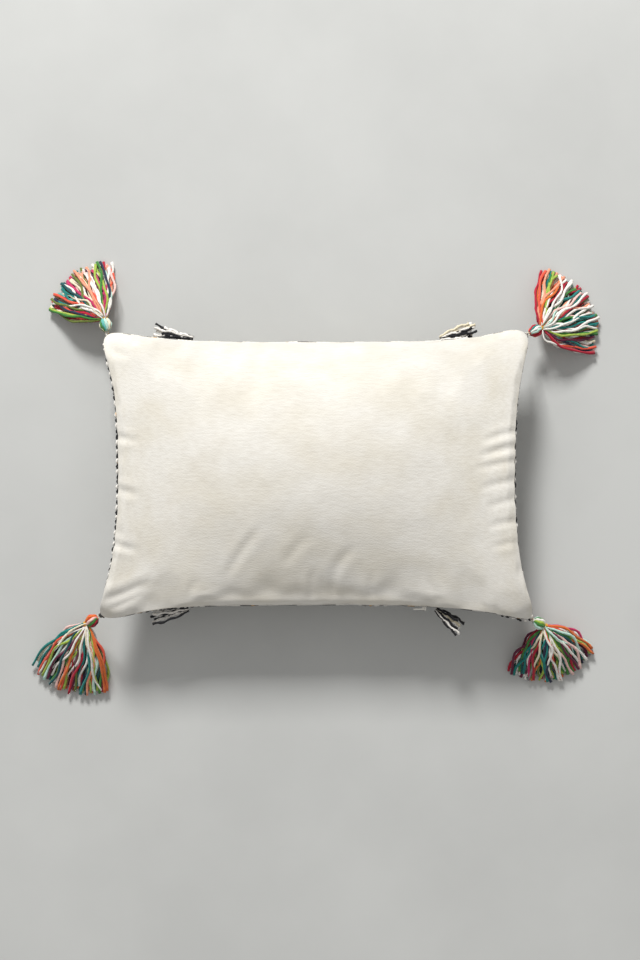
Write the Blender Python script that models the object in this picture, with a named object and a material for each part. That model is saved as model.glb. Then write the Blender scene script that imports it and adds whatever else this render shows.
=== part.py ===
"""Lumbar throw pillow lying on its woven front, with a tassel at each corner.

A zipped two-panel cover (plain back, hand-woven front) holds a stuffed insert.
+X runs along the long side, +Y across, +Z up. The origin is on the floor, at the
middle of the flat patch on which the front panel rests. All sizes are in metres.
"""
import math

import bmesh
import bpy

# ---- cover: plan, measured at the seam ----
CORNER_HALF_X = 0.2540       # centre to corner along the long side, before softening
CORNER_HALF_Y = 0.1690
END_PULL_IN = 0.0255         # how far the short ends curve in between the corners
SIDE_PULL_IN = 0.0165        # how far the long sides curve in between the corners
END_FLARE_POWER = 2.4        # higher keeps the side straight for longer
SIDE_FLARE_POWER = 3.5
CORNER_SOFTEN = 0.0040       # each corner is blunted by this much in X and in Y
CORNER_SOFTEN_POWER = 9.0
CORNER_REACH_POWER = 4.0     # how local a corner's own reach is

# ---- cover: heights ----
SEAM_HEIGHT = 0.0660         # seam above the floor, at the middle of the long sides
END_LIFT = 0.0120            # the seam rises by this much at the middle of the short ends
END_LIFT_POWER = 6.0
CORNER_DROP = 0.0310         # the seam sags by this much at the corners
CORNER_DROP_POWER = 6.0
CROWN = 0.0540               # top of the back panel above the seam
UNDER_DEPTH = 0.0860         # free depth of the front panel, before the floor flattens it
FULLNESS = 0.80              # power of the cosine of each half: lower is fuller at the seam

# ---- cloth thicknesses and clearances ----
BACK_CLOTH = 0.0012
FRONT_CLOTH = 0.0022
CASING_CLOTH = 0.0009
LAYER_GAP = 0.0012           # between one layer of cloth and the next
FILLING_GAP = 0.0022         # between the casing and its stuffing
SEAM_GAP = 0.0004            # between the edges of the two panels
INSERT_CLEARANCE = 0.0018    # between the insert's seam and the zip's slider
PIECE_GAP = 0.0003           # between two pieces that touch

CORNER_EASE = 1.6            # how much more the insert is set back at the corners

# ---- grid of the soft solids ----
STEPS_X = 20
STEPS_Y = 14

# ---- zip, behind the seam on the -Y side ----
CHAIN_HALF = 0.1300          # half the length of the coils
CHAIN_SETBACK = 0.0056       # coil centre behind the cover's edge
COIL_RADIUS = 0.0007
COIL_SIDES = 8
CHAIN_PARTING = 0.0018       # clear width between the coils, where the divider runs
TAPE_WIDTH = 0.0110
TAPE_THICK = 0.0006
TAPE_OVERHANG = 0.0150       # tape beyond each end of the coils
STOP_LENGTH = 0.0025
SLIDER_LENGTH = 0.0100
SLIDER_PLATE = 0.0008
SLIDER_FLANGE = 0.0007
SLIDER_CLEARANCE = 0.00035
DIVIDER_LENGTH = 0.0030
DIVIDER_THICK = 0.0010
SLIT_CLEARANCE = 0.0005      # between the slider's neck and each lip of the seam
SLIT_OVERRUN = 0.0300        # the slit closes within this distance past the zip's stops
EYE_OUTSIDE = 0.0022         # eye centre beyond the widest cover edge along the travel
EYE_RADIUS = 0.0009
NECK_LENGTH = 0.0044
TAB_LENGTH = 0.0130
TAB_WIDTH = 0.0042
TAB_THICK = 0.0010
TAB_BAR = 0.0010             # thickness of the tab around its window
WINDOW_LENGTH = 0.0032

# ---- care label, sewn into the seam inside the cover ----
LABEL_X = -0.1720
LABEL_WIDTH = 0.0220
LABEL_DROP = 0.0110
LABEL_THICK = 0.0004
LABEL_SETBACK = 0.0068       # behind the cover's edge
LABEL_BELOW_SEAM = 0.0030

# ---- tassels ----
LOOP_RADIUS = 0.0016         # hanging loop, to the middle of its thread
LOOP_THREAD = 0.0006
HEAD_LENGTH = 0.0140
HEAD_RADIUS = 0.0080
NECK_RADIUS = 0.0032
BINDING_LENGTH = 0.0030
BINDING_THICK = 0.0016
FAN_COLLAR = 0.0022          # straight stretch between the binding and the fan
SKIRT_FULL = 0.0062          # half the thickness of the skirt where it is fullest
SKIRT_FULL_AT = 0.35         # and how far down the skirt that is
SKIRT_TIP = 0.0036           # half its thickness at the tips
SKIRT_SECTIONS = (0.15, 0.35, 0.6, 0.8, 1.0)  # shares of the fan's length
SKIRT_ACROSS = 6             # faces across the fan, above and below
HEAD_ROUNDNESS = 0.8         # power of the head's outline: lower is rounder
HEAD_STEPS = 6
TURN_STEPS = 12
LOOP_STEPS = 14
THREAD_SIDES = 6

# name, side in X, side in Y, extra reach X and Y, tassel azimuth,
# azimuth of the middle of the fan, half of the fan's spread, skirt length
CORNERS = (
    ("top_left", -1, 1, -0.0047, -0.0020, 102.0, 130.0, 42.0, 0.0750),
    ("top_right", 1, 1, -0.0035, -0.0020, 25.0, 31.0, 56.0, 0.0770),
    ("bottom_left", -1, -1, 0.0035, 0.0015, 212.0, 253.0, 34.0, 0.0900),
    ("bottom_right", 1, -1, 0.0010, 0.0050, -30.0, -76.0, 50.0, 0.0730),
)

# ---- fringe tufts of the woven front, caught in the long seams ----
TUFT_BELOW_SEAM = 0.0060
TUFT_DROOP = 10.0            # degrees below level
TUFT_ROOT_RADIUS = 0.0022
TUFT_TIP_RADIUS = 0.0048
TUFT_SIDES = 8
# name, root X, side in Y, azimuth, length
TUFTS = (
    ("top_left", -0.143, 1, 169.0, 0.049),
    ("top_right", 0.143, 1, 15.0, 0.047),
    ("bottom_left", -0.148, -1, 192.5, 0.048),
    ("bottom_right", 0.1385, -1, -39.0, 0.042),
)

# ---- colours: sRGB 0-1, roughness, metallic ----
FINISHES = {
    "cotton_back": ((0.93, 0.92, 0.89), 0.90, 0.0),
    "woven_front": ((0.45, 0.45, 0.46), 0.92, 0.0),
    "ticking": ((0.96, 0.96, 0.95), 0.85, 0.0),
    "filling": ((0.98, 0.98, 0.98), 0.95, 0.0),
    "label": ((0.97, 0.97, 0.96), 0.60, 0.0),
    "zip_tape": ((0.92, 0.91, 0.87), 0.80, 0.0),
    "zip_coil": ((0.90, 0.89, 0.85), 0.45, 0.0),
    "zip_metal": ((0.88, 0.86, 0.80), 0.35, 0.6),
    "fringe_yarn": ((0.40, 0.40, 0.40), 0.92, 0.0),
    "tassel_yarn": ((0.70, 0.36, 0.30), 0.90, 0.0),
    "binding_yarn": ((0.80, 0.62, 0.22), 0.85, 0.0),
}


def clear_scene():
    for obj in list(bpy.data.objects):
        bpy.data.objects.remove(obj, do_unlink=True)


def finish(name):
    """The named material, made the first time that it is asked for."""
    material = bpy.data.materials.get(name)
    if material is None:
        colour, roughness, metallic = FINISHES[name]
        material = bpy.data.materials.new(name)
        material.use_nodes = True
        shader = material.node_tree.nodes["Principled BSDF"]
        linear = [c / 12.92 if c <= 0.04045 else ((c + 0.055) / 1.055) ** 2.4 for c in colour]
        shader.inputs["Base Color"].default_value = (*linear, 1.0)
        shader.inputs["Roughness"].default_value = roughness
        shader.inputs["Metallic"].default_value = metallic
    return material


def add_object(name, mesh, material, parent=None, smooth=True):
    mesh.materials.append(finish(material))
    if smooth:
        mesh.shade_smooth()
    obj = bpy.data.objects.new(name, mesh)
    bpy.context.scene.collection.objects.link(obj)
    obj.parent = parent
    return obj


def add_empty(name, location, parent=None, turn=0.0):
    empty = bpy.data.objects.new(name, None)
    empty.empty_display_size = 0.01
    bpy.context.scene.collection.objects.link(empty)
    empty.parent = parent
    empty.location = location
    empty.rotation_euler = (0.0, 0.0, turn)
    return empty


def to_mesh(name, bm):
    mesh = bpy.data.meshes.new(name)
    bm.normal_update()
    bm.to_mesh(mesh)
    bm.free()
    return mesh


# ---------------------------------------------------------------- the pillow's form

def corner_reach(u, v):
    """How far the corner of this quarter stands out beyond the nominal one."""
    local = abs(u * v) ** CORNER_REACH_POWER
    for _, along_x, along_y, reach_x, reach_y, *_ in CORNERS:
        if along_x * u >= 0 and along_y * v >= 0:
            return reach_x * local, reach_y * local
    return 0.0, 0.0


def half_widths(u, v):
    """Half the cover's length and width through a point; u and v run from -1 to 1."""
    soft = CORNER_SOFTEN * abs(u * v) ** CORNER_SOFTEN_POWER
    reach_x, reach_y = corner_reach(u, v)
    half_x = CORNER_HALF_X - END_PULL_IN * (1 - abs(v) ** END_FLARE_POWER) - soft + reach_x
    half_y = CORNER_HALF_Y - SIDE_PULL_IN * (1 - abs(u) ** SIDE_FLARE_POWER) - soft + reach_y
    return half_x, half_y


def side_y(x, side):
    """Y of the cover's edge on a long side, at a place along it."""
    u = x / CORNER_HALF_X
    return side * half_widths(u, side)[1]


def seam_height(u, v):
    lift = END_LIFT * abs(u) ** END_LIFT_POWER * max(0.0, 1 - v * v)
    return SEAM_HEIGHT + lift - CORNER_DROP * abs(u * v) ** CORNER_DROP_POWER


def seam_place(j, x, u, v):
    """Seam level at a place, and half the gap between the panels there.

    Along the zip the seam is a straight, level slit; elsewhere it is closed.
    """
    if j == 0 and abs(x) < CHAIN_HALF + STOP_LENGTH + SLIT_OVERRUN:
        return SEAM_HEIGHT, DIVIDER_THICK / 2 + SLIT_CLEARANCE
    return seam_height(u, v), SEAM_GAP / 2


def layer_point(i, j, setback, inward, upper):
    """One point of a cloth layer: setback in plan, inward in height, back or front half."""
    s = -1 + 2 * i / STEPS_X
    t = -1 + 2 * j / STEPS_Y
    u, v = math.sin(math.pi / 2 * s), math.sin(math.pi / 2 * t)
    half_x, half_y = half_widths(u, v)
    eased = setback + CORNER_EASE * max(0.0, setback - FRONT_CLOTH) * abs(u * v) ** CORNER_REACH_POWER
    x, y = u * (half_x - eased), v * (half_y - eased)
    full = abs(math.cos(math.pi / 2 * s) * math.cos(math.pi / 2 * t)) ** FULLNESS
    if min(i, j) == 0 or i == STEPS_X or j == STEPS_Y:
        full = 0.0
    level, parting = seam_place(j, x, x / half_x, y / half_y)
    if upper:
        return x, y, level + parting + (CROWN - inward) * full
    return x, y, max(inward, level - parting - (UNDER_DEPTH - inward) * full)


def edge_loop():
    """Grid places around the seam, once round."""
    loop = [(i, 0) for i in range(STEPS_X)]
    loop += [(STEPS_X, j) for j in range(STEPS_Y)]
    loop += [(i, STEPS_Y) for i in range(STEPS_X, 0, -1)]
    loop += [(0, j) for j in range(STEPS_Y, 0, -1)]
    return loop


def add_layer(bm, point, flip):
    """A grid of faces through point(i, j); returns its vertices by grid place.

    A flipped face starts at the same corner, so every layer folds along the same diagonals.
    """
    verts = {(i, j): bm.verts.new(point(i, j)) for i in range(STEPS_X + 1) for j in range(STEPS_Y + 1)}
    for i in range(STEPS_X):
        for j in range(STEPS_Y):
            start, *others = verts[i, j], verts[i + 1, j], verts[i + 1, j + 1], verts[i, j + 1]
            bm.faces.new([start, *(others[::-1] if flip else others)])
    return verts


def join_edges(bm, top, bottom):
    """Faces from the edge of an upper grid down to the edge of a lower one."""
    loop = edge_loop()
    for here, after in zip(loop, loop[1:] + loop[:1]):
        bm.faces.new([bottom[here], bottom[after], top[after], top[here]])


def make_shell(name, material, setback, inward, cloth, upper):
    """A half of a cover or casing: an outer and an inner grid, joined along the seam."""
    def outer(i, j):
        return layer_point(i, j, setback, inward, upper)

    def inner(i, j):
        return layer_point(i, j, setback + cloth, inward + cloth, upper)

    bm = bmesh.new()
    outside = add_layer(bm, outer, flip=not upper)
    inside = add_layer(bm, inner, flip=upper)
    if upper:
        join_edges(bm, outside, inside)
    else:
        join_edges(bm, inside, outside)
    bmesh.ops.triangulate(bm, faces=bm.faces, quad_method="FIXED")
    return add_object(name, to_mesh(name, bm), material)


def make_filling(setback, inward_back, inward_front):
    """The stuffing: one closed solid that fills the casing."""
    bm = bmesh.new()
    top = add_layer(bm, lambda i, j: layer_point(i, j, setback, inward_back, True), flip=False)
    low = add_layer(bm, lambda i, j: layer_point(i, j, setback, inward_front, False), flip=True)
    join_edges(bm, top, low)
    bmesh.ops.triangulate(bm, faces=bm.faces, quad_method="FIXED")
    return add_object("insert_filling", to_mesh("insert_filling", bm), "filling")


def insert_setback():
    """The insert's seam stays inside the slider, also where the zip's seam flares out."""
    flare = abs(side_y(CHAIN_HALF, -1) - side_y(0.0, -1))
    return flare + CHAIN_SETBACK + slider_half_depth() + INSERT_CLEARANCE


def make_cover_and_insert():
    make_shell("cover_back_panel", "cotton_back", 0.0, 0.0, BACK_CLOTH, True)
    make_shell("cover_front_panel", "woven_front", 0.0, 0.0, FRONT_CLOTH, False)
    setback = insert_setback()
    casing_back = BACK_CLOTH + LAYER_GAP
    casing_front = FRONT_CLOTH + LAYER_GAP
    make_shell("insert_casing_back", "ticking", setback, casing_back, CASING_CLOTH, True)
    make_shell("insert_casing_front", "ticking", setback, casing_front, CASING_CLOTH, False)
    inside = CASING_CLOTH + FILLING_GAP
    make_filling(setback + inside, casing_back + inside, casing_front + inside)


# ---------------------------------------------------------------- boxes and small parts

def box_mesh(name, low, high):
    bm = bmesh.new()
    bmesh.ops.create_cube(bm, size=1.0)
    size = [b - a for a, b in zip(low, high)]
    middle = [(a + b) / 2 for a, b in zip(low, high)]
    bmesh.ops.scale(bm, vec=size, verts=bm.verts)
    bmesh.ops.translate(bm, vec=middle, verts=bm.verts)
    return to_mesh(name, bm)


def add_box(name, low, high, material, parent=None, bevel=0.0):
    obj = add_object(name, box_mesh(name, low, high), material, parent, smooth=False)
    if bevel:
        modifier = obj.modifiers.new("rounded edges", "BEVEL")
        modifier.width = bevel
        modifier.segments = 2
    return obj


def combine(obj, other, operation):
    """A live Boolean of obj with a helper, which is not a part of the model."""
    other.hide_render = True
    other.display_type = "WIRE"
    modifier = obj.modifiers.new(operation.lower(), "BOOLEAN")
    modifier.operation = operation
    modifier.solver = "EXACT"
    modifier.object = other


def make_rod(name, start, end, radius, sides, material):
    """A straight round rod along X."""
    bm = bmesh.new()
    bmesh.ops.create_cone(bm, cap_ends=True, segments=sides, radius1=radius, radius2=radius,
                          depth=end - start)
    mesh = to_mesh(name, bm)
    obj = add_object(name, mesh, material)
    obj.rotation_euler = (0.0, math.pi / 2, 0.0)
    return obj


# ---------------------------------------------------------------- zip

def chain_y():
    """The coils run straight, clear of the edge where it curves in most."""
    return side_y(0.0, -1) + CHAIN_SETBACK


def coil_offset():
    return CHAIN_PARTING / 2 + COIL_RADIUS


def slider_half_depth():
    return COIL_RADIUS + SLIDER_CLEARANCE + SLIDER_PLATE


def slider_rest_x():
    return CHAIN_HALF - SLIDER_LENGTH / 2 - PIECE_GAP


def eye_y():
    """The pull's eye stands outside the cover's edge all along the slider's travel."""
    return side_y(slider_rest_x() + SLIDER_LENGTH, -1) - EYE_OUTSIDE


def make_zip_chain():
    y, z = chain_y(), SEAM_HEIGHT
    outer = coil_offset() + COIL_RADIUS
    for half, up in (("back", 1), ("front", -1)):
        coil = make_rod(f"zipper_coil_{half}", -CHAIN_HALF, CHAIN_HALF, COIL_RADIUS, COIL_SIDES, "zip_coil")
        coil.location = (0.0, y, z + up * coil_offset())
        reach = sorted((z + up * (outer + PIECE_GAP), z + up * (outer + PIECE_GAP + TAPE_WIDTH)))
        add_box(f"zipper_tape_{half}",
                (-CHAIN_HALF - TAPE_OVERHANG, y - TAPE_THICK / 2, reach[0]),
                (CHAIN_HALF + TAPE_OVERHANG, y + TAPE_THICK / 2, reach[1]), "zip_tape")
        stop = sorted((z + up * (coil_offset() - COIL_RADIUS), z + up * outer))
        add_box(f"zipper_top_stop_{half}",
                (CHAIN_HALF + PIECE_GAP, y - COIL_RADIUS, stop[0]),
                (CHAIN_HALF + PIECE_GAP + STOP_LENGTH, y + COIL_RADIUS, stop[1]), "zip_metal")
    add_box("zipper_bottom_stop",
            (-CHAIN_HALF - PIECE_GAP - STOP_LENGTH, y - COIL_RADIUS, z - outer),
            (-CHAIN_HALF - PIECE_GAP, y + COIL_RADIUS, z + outer), "zip_metal")


def make_slider():
    """Two plates and their flanges around the coils, a divider, and a neck with an eye."""
    pivot = add_empty("slider_place", (slider_rest_x(), chain_y(), SEAM_HEIGHT))
    half = SLIDER_LENGTH / 2
    inner, outer = COIL_RADIUS + SLIDER_CLEARANCE, slider_half_depth()
    flange_in = coil_offset() + COIL_RADIUS + SLIDER_CLEARANCE
    flange_out = flange_in + SLIDER_FLANGE
    slot = TAPE_THICK / 2 + SLIDER_CLEARANCE
    body = add_box("zipper_slider", (-half, -outer, -flange_out), (half, outer, flange_out),
                   "zip_metal", pivot)
    channel = add_box("cut_channel", (-SLIDER_LENGTH, -inner, -flange_in),
                      (half - DIVIDER_LENGTH, inner, flange_in), "zip_metal", pivot)
    combine(body, channel, "DIFFERENCE")
    for up in (1, -1):
        lane = sorted((up * DIVIDER_THICK / 2, up * flange_in))
        side = add_box(f"cut_lane_{up}", (-half, -inner, lane[0]), (SLIDER_LENGTH, inner, lane[1]),
                       "zip_metal", pivot)
        combine(body, side, "DIFFERENCE")
        gap = sorted((up * coil_offset(), up * SLIDER_LENGTH))
        tape_way = add_box(f"cut_tape_way_{up}", (-SLIDER_LENGTH, -slot, gap[0]),
                           (SLIDER_LENGTH, slot, gap[1]), "zip_metal", pivot)
        combine(body, tape_way, "DIFFERENCE")
    eye = eye_y() - chain_y()
    neck = add_box("neck_blank", (-NECK_LENGTH / 2, eye - NECK_LENGTH / 2 + TAB_BAR / 2, -DIVIDER_THICK / 2),
                   (NECK_LENGTH / 2, -inner - SLIDER_PLATE / 2, DIVIDER_THICK / 2), "zip_metal", pivot)
    combine(body, neck, "UNION")
    bm = bmesh.new()
    bmesh.ops.create_cone(bm, cap_ends=True, segments=TURN_STEPS, radius1=EYE_RADIUS,
                          radius2=EYE_RADIUS, depth=4 * DIVIDER_THICK)
    hole = add_object("cut_eye", to_mesh("cut_eye", bm), "zip_metal", pivot)
    hole.location = (0.0, eye, 0.0)
    combine(body, hole, "DIFFERENCE")


def make_pull_tab():
    """A flat tab whose end bar passes through the eye; it lies back along the seam."""
    pivot = add_empty("pull_hinge", (slider_rest_x(), eye_y(), SEAM_HEIGHT))
    bar = TAB_BAR / 2
    tab = add_box("zipper_pull_tab", (bar - TAB_LENGTH, -TAB_THICK / 2, -TAB_WIDTH / 2),
                  (bar, TAB_THICK / 2, TAB_WIDTH / 2), "zip_metal", pivot)
    window = add_box("cut_window", (-bar - WINDOW_LENGTH, -TAB_THICK, TAB_BAR - TAB_WIDTH / 2),
                     (-bar, TAB_THICK, TAB_WIDTH / 2 - TAB_BAR), "zip_metal", pivot)
    combine(tab, window, "DIFFERENCE")


def make_label():
    edge = side_y(LABEL_X, -1) + LABEL_SETBACK
    top = SEAM_HEIGHT - LABEL_BELOW_SEAM
    add_box("care_label", (LABEL_X - LABEL_WIDTH / 2, edge - LABEL_THICK / 2, top - LABEL_DROP),
            (LABEL_X + LABEL_WIDTH / 2, edge + LABEL_THICK / 2, top), "label")


# ---------------------------------------------------------------- tassels

def corner_tip(along_x, along_y):
    """The cover's corner on the sides given as -1 or 1 in X and in Y."""
    half_x, half_y = half_widths(along_x, along_y)
    return along_x * half_x, along_y * half_y, seam_height(along_x, along_y)


def swivel_reach():
    """Corner to the vertical axis on which the loop turns."""
    return PIECE_GAP + LOOP_THREAD


def hinge_reach():
    """Corner to the level axis on which the tassel swings, in the loop's outer end."""
    return swivel_reach() + 2 * LOOP_RADIUS


def head_start():
    """Swing axis to the near end of the head."""
    return LOOP_THREAD + PIECE_GAP


def skirt_start():
    return head_start() + HEAD_LENGTH + PIECE_GAP


def droop(length):
    """Slope at which a skirt of this length just rests its tips on the floor."""
    reach, height = skirt_start() + length, SEAM_HEIGHT - CORNER_DROP
    return math.asin(height / math.hypot(reach, SKIRT_TIP)) - math.atan2(SKIRT_TIP, reach)


def make_turned(name, profile, material, parent):
    """A round piece: an outline of (radius, height) from top to bottom, turned about Z."""
    bm = bmesh.new()
    verts = [bm.verts.new((radius, 0.0, height)) for radius, height in profile]
    for here, after in zip(verts, verts[1:]):
        bm.edges.new((here, after))
    obj = add_object(name, to_mesh(name, bm), material, parent)
    screw = obj.modifiers.new("turned", "SCREW")
    screw.axis = "Z"
    screw.steps = TURN_STEPS
    screw.render_steps = TURN_STEPS
    screw.use_merge_vertices = True
    screw.merge_threshold = 0.00005
    return obj


def head_profile():
    """The knot of folded yarn: round, narrowing to the neck; Z runs back to the loop."""
    profile = []
    for k in range(HEAD_STEPS):
        angle = math.pi * k / HEAD_STEPS
        radius = HEAD_RADIUS * math.sin(angle) ** HEAD_ROUNDNESS
        profile.append((radius, -HEAD_LENGTH / 2 * (1 - math.cos(angle))))
    profile.append((NECK_RADIUS, -HEAD_LENGTH))
    profile.append((0.0, -HEAD_LENGTH))
    return profile


def binding_profile():
    inner = NECK_RADIUS + PIECE_GAP
    outer = inner + BINDING_THICK
    bulge = outer + BINDING_THICK / 4
    low = -BINDING_LENGTH
    return [(inner, 0.0), (outer, 0.0), (bulge, low / 2), (outer, low), (inner, low), (inner, 0.0)]


def neck_length():
    return BINDING_LENGTH + 2 * PIECE_GAP + FAN_COLLAR


def skirt_section(reach, slope, turn, spread, length):
    """A ring of points across the skirt, at this distance from its start."""
    neck = neck_length()
    beyond = max(0.0, reach - neck)
    share = beyond / (length - neck)
    if share < SKIRT_FULL_AT:
        half_thick = NECK_RADIUS + (SKIRT_FULL - NECK_RADIUS) * math.sin(math.pi / 2 * share / SKIRT_FULL_AT)
    else:
        fade = (share - SKIRT_FULL_AT) / (1 - SKIRT_FULL_AT)
        half_thick = SKIRT_FULL + (SKIRT_TIP - SKIRT_FULL) * fade
    start = min(reach, neck)
    turned = turn if beyond else 0.0
    ring = []
    for k in range(2 * SKIRT_ACROSS):
        angle = math.pi * k / SKIRT_ACROSS
        place, above = math.cos(angle), half_thick * math.sin(angle)
        heading = turned + place * spread if beyond else 0.0
        level = (beyond * math.cos(slope)) + above * math.sin(slope)
        x = start * math.cos(slope) + level * math.cos(heading) - NECK_RADIUS * place * math.sin(turned)
        y = level * math.sin(heading) + NECK_RADIUS * place * math.cos(turned)
        z = -(start + beyond) * math.sin(slope) + above * math.cos(slope)
        ring.append((x, y, z))
    return ring


def make_skirt(name, length, turn, spread, parent):
    """A flattened fan of strands from the neck to the tips, sloping down to the floor."""
    slope, neck = droop(length), neck_length()
    reaches = [0.0, neck] + [neck + (length - neck) * share for share in SKIRT_SECTIONS]
    bm = bmesh.new()
    rings = []
    for reach in reaches:
        points = skirt_section(reach, slope, turn, spread, length)
        rings.append([bm.verts.new(point) for point in points])
    for near, far in zip(rings, rings[1:]):
        for k in range(len(near)):
            after = (k + 1) % len(near)
            bm.faces.new([near[k], near[after], far[after], far[k]])
    bm.faces.new(rings[0][::-1])
    bm.faces.new(rings[-1])
    bmesh.ops.triangulate(bm, faces=bm.faces)
    return add_object(name, to_mesh(name, bm), "tassel_yarn", parent)


def along(distance, slope):
    """Place at a distance down a tassel's axis, in its empty's frame."""
    return distance * math.cos(slope), 0.0, -distance * math.sin(slope)


def loop_mesh(name):
    """A closed ring of thread, lying flat about the origin."""
    bm = bmesh.new()
    rings = []
    for a in range(LOOP_STEPS):
        turn = 2 * math.pi * a / LOOP_STEPS
        section = []
        for b in range(THREAD_SIDES):
            angle = 2 * math.pi * b / THREAD_SIDES
            radius = LOOP_RADIUS + LOOP_THREAD * math.cos(angle)
            place = (radius * math.cos(turn), radius * math.sin(turn), LOOP_THREAD * math.sin(angle))
            section.append(bm.verts.new(place))
        rings.append(section)
    for near, far in zip(rings, rings[1:] + rings[:1]):
        for b in range(THREAD_SIDES):
            after = (b + 1) % THREAD_SIDES
            bm.faces.new([near[b], far[b], far[after], near[after]])
    return to_mesh(name, bm)


def make_tassel(corner, along_x, along_y, azimuth, fan_azimuth, spread, length):
    """A loop that turns at the cover's corner, and the tassel that swings in its outer end."""
    turn, slope = math.radians(azimuth), droop(length)
    tip = corner_tip(along_x, along_y)
    axis_place = [tip[0] + swivel_reach() * math.cos(turn), tip[1] + swivel_reach() * math.sin(turn), tip[2]]
    swivel = add_empty(f"swivel_{corner}", axis_place, turn=turn)
    loop = add_object(f"tassel_loop_{corner}", loop_mesh(f"tassel_loop_{corner}"), "tassel_yarn", swivel)
    loop.location = (LOOP_RADIUS, 0.0, 0.0)

    hinge = add_empty(f"hinge_{corner}", (2 * LOOP_RADIUS, 0.0, 0.0), parent=swivel)
    head = make_turned(f"tassel_head_{corner}", head_profile(), "tassel_yarn", hinge)
    head.location = along(head_start(), slope)
    binding = make_turned(f"tassel_binding_{corner}", binding_profile(), "binding_yarn", hinge)
    binding.location = along(skirt_start() + PIECE_GAP, slope)
    for piece in (head, binding):
        piece.rotation_euler = (0.0, slope - math.pi / 2, 0.0)
    fan_turn = math.radians(fan_azimuth - azimuth)
    skirt = make_skirt(f"tassel_skirt_{corner}", length, fan_turn, math.radians(spread), hinge)
    skirt.location = along(skirt_start(), slope)


# ---------------------------------------------------------------- fringe tufts

def make_tuft(name, root_x, side, azimuth, length):
    """A short bundle of fringe yarn that widens towards its free end."""
    slope, turn = math.radians(TUFT_DROOP), math.radians(azimuth)
    direction = (math.cos(turn) * math.cos(slope), math.sin(turn) * math.cos(slope), -math.sin(slope))
    root_y = side_y(root_x, side) + side * (TUFT_ROOT_RADIUS + PIECE_GAP)
    root = (root_x, root_y, SEAM_HEIGHT - TUFT_BELOW_SEAM)
    bm = bmesh.new()
    bmesh.ops.create_cone(bm, cap_ends=True, segments=TUFT_SIDES, radius1=TUFT_ROOT_RADIUS,
                          radius2=TUFT_TIP_RADIUS, depth=length)
    tuft = add_object(f"fringe_{name}", to_mesh(f"fringe_{name}", bm), "fringe_yarn")
    tuft.location = [r + d * length / 2 for r, d in zip(root, direction)]
    tuft.rotation_euler = (0.0, math.pi / 2 + slope, turn)


def main():
    clear_scene()
    make_cover_and_insert()
    make_zip_chain()
    make_slider()
    make_pull_tab()
    make_label()
    for corner, along_x, along_y, _, _, azimuth, fan_azimuth, spread, length in CORNERS:
        make_tassel(corner, along_x, along_y, azimuth, fan_azimuth, spread, length)
    for name, root_x, side, azimuth, length in TUFTS:
        make_tuft(name, root_x, side, azimuth, length)


main()
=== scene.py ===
"""Lumbar throw pillow with a plain cotton back, a hand-woven front and four yarn tassels.

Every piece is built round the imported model: places and sizes come from its nodes, in metres,
with +X along the long side, +Y across and +Z up from the floor.
"""
import math
import random

import bmesh
import bpy
import numpy as np
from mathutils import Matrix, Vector


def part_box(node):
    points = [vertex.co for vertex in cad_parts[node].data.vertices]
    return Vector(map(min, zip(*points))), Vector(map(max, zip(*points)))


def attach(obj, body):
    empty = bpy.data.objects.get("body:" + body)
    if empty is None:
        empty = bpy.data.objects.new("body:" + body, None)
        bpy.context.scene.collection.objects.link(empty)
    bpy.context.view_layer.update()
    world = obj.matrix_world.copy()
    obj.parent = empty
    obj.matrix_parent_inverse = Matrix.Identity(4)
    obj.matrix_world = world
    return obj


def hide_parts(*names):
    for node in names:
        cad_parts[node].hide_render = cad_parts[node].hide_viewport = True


bl_info = {
    "name": "Tasselled Throw Pillow",
    "version": (1, 0, 0),
    "blender": (4, 5, 0),
    "location": "3D View > Sidebar > Pillow",
    "description": "Builds a stuffed lumbar pillow with yarn tassels and a studio round it",
    "category": "Object",
}

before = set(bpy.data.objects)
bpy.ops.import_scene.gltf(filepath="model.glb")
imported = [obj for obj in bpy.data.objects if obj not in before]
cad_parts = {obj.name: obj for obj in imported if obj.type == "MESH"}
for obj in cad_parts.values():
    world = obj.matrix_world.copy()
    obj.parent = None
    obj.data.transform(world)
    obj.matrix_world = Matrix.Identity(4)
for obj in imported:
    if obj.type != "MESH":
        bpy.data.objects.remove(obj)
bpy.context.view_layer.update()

CORNER_NAMES = {
    (-1, 1): "top_left",
    (1, 1): "top_right",
    (-1, -1): "bottom_left",
    (1, -1): "bottom_right",
}

# ---- yarn colours, one letter each ----
YARNS = {
    "W": "#F3F0EA",  # white
    "C": "#E9DFC4",  # cream
    "P": "#EFC6BF",  # pale pink
    "H": "#EE9F80",  # peach
    "O": "#E0702F",  # orange
    "K": "#E2583F",  # coral
    "R": "#B51734",  # crimson
    "B": "#C52F66",  # raspberry
    "U": "#63183A",  # plum
    "L": "#A5BE4E",  # lime
    "F": "#3F8436",  # leaf
    "V": "#6C7A33",  # olive
    "T": "#12807A",  # teal
    "D": "#0E5257",  # deep teal
    "N": "#232C48",  # navy
    "M": "#BFE2D6",  # mint
    "A": "#62B7AE",  # aqua
    "Y": "#D8A038",  # mustard
    "J": "#17171B",  # black
    "G": "#8C8A88",  # grey
}

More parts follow.
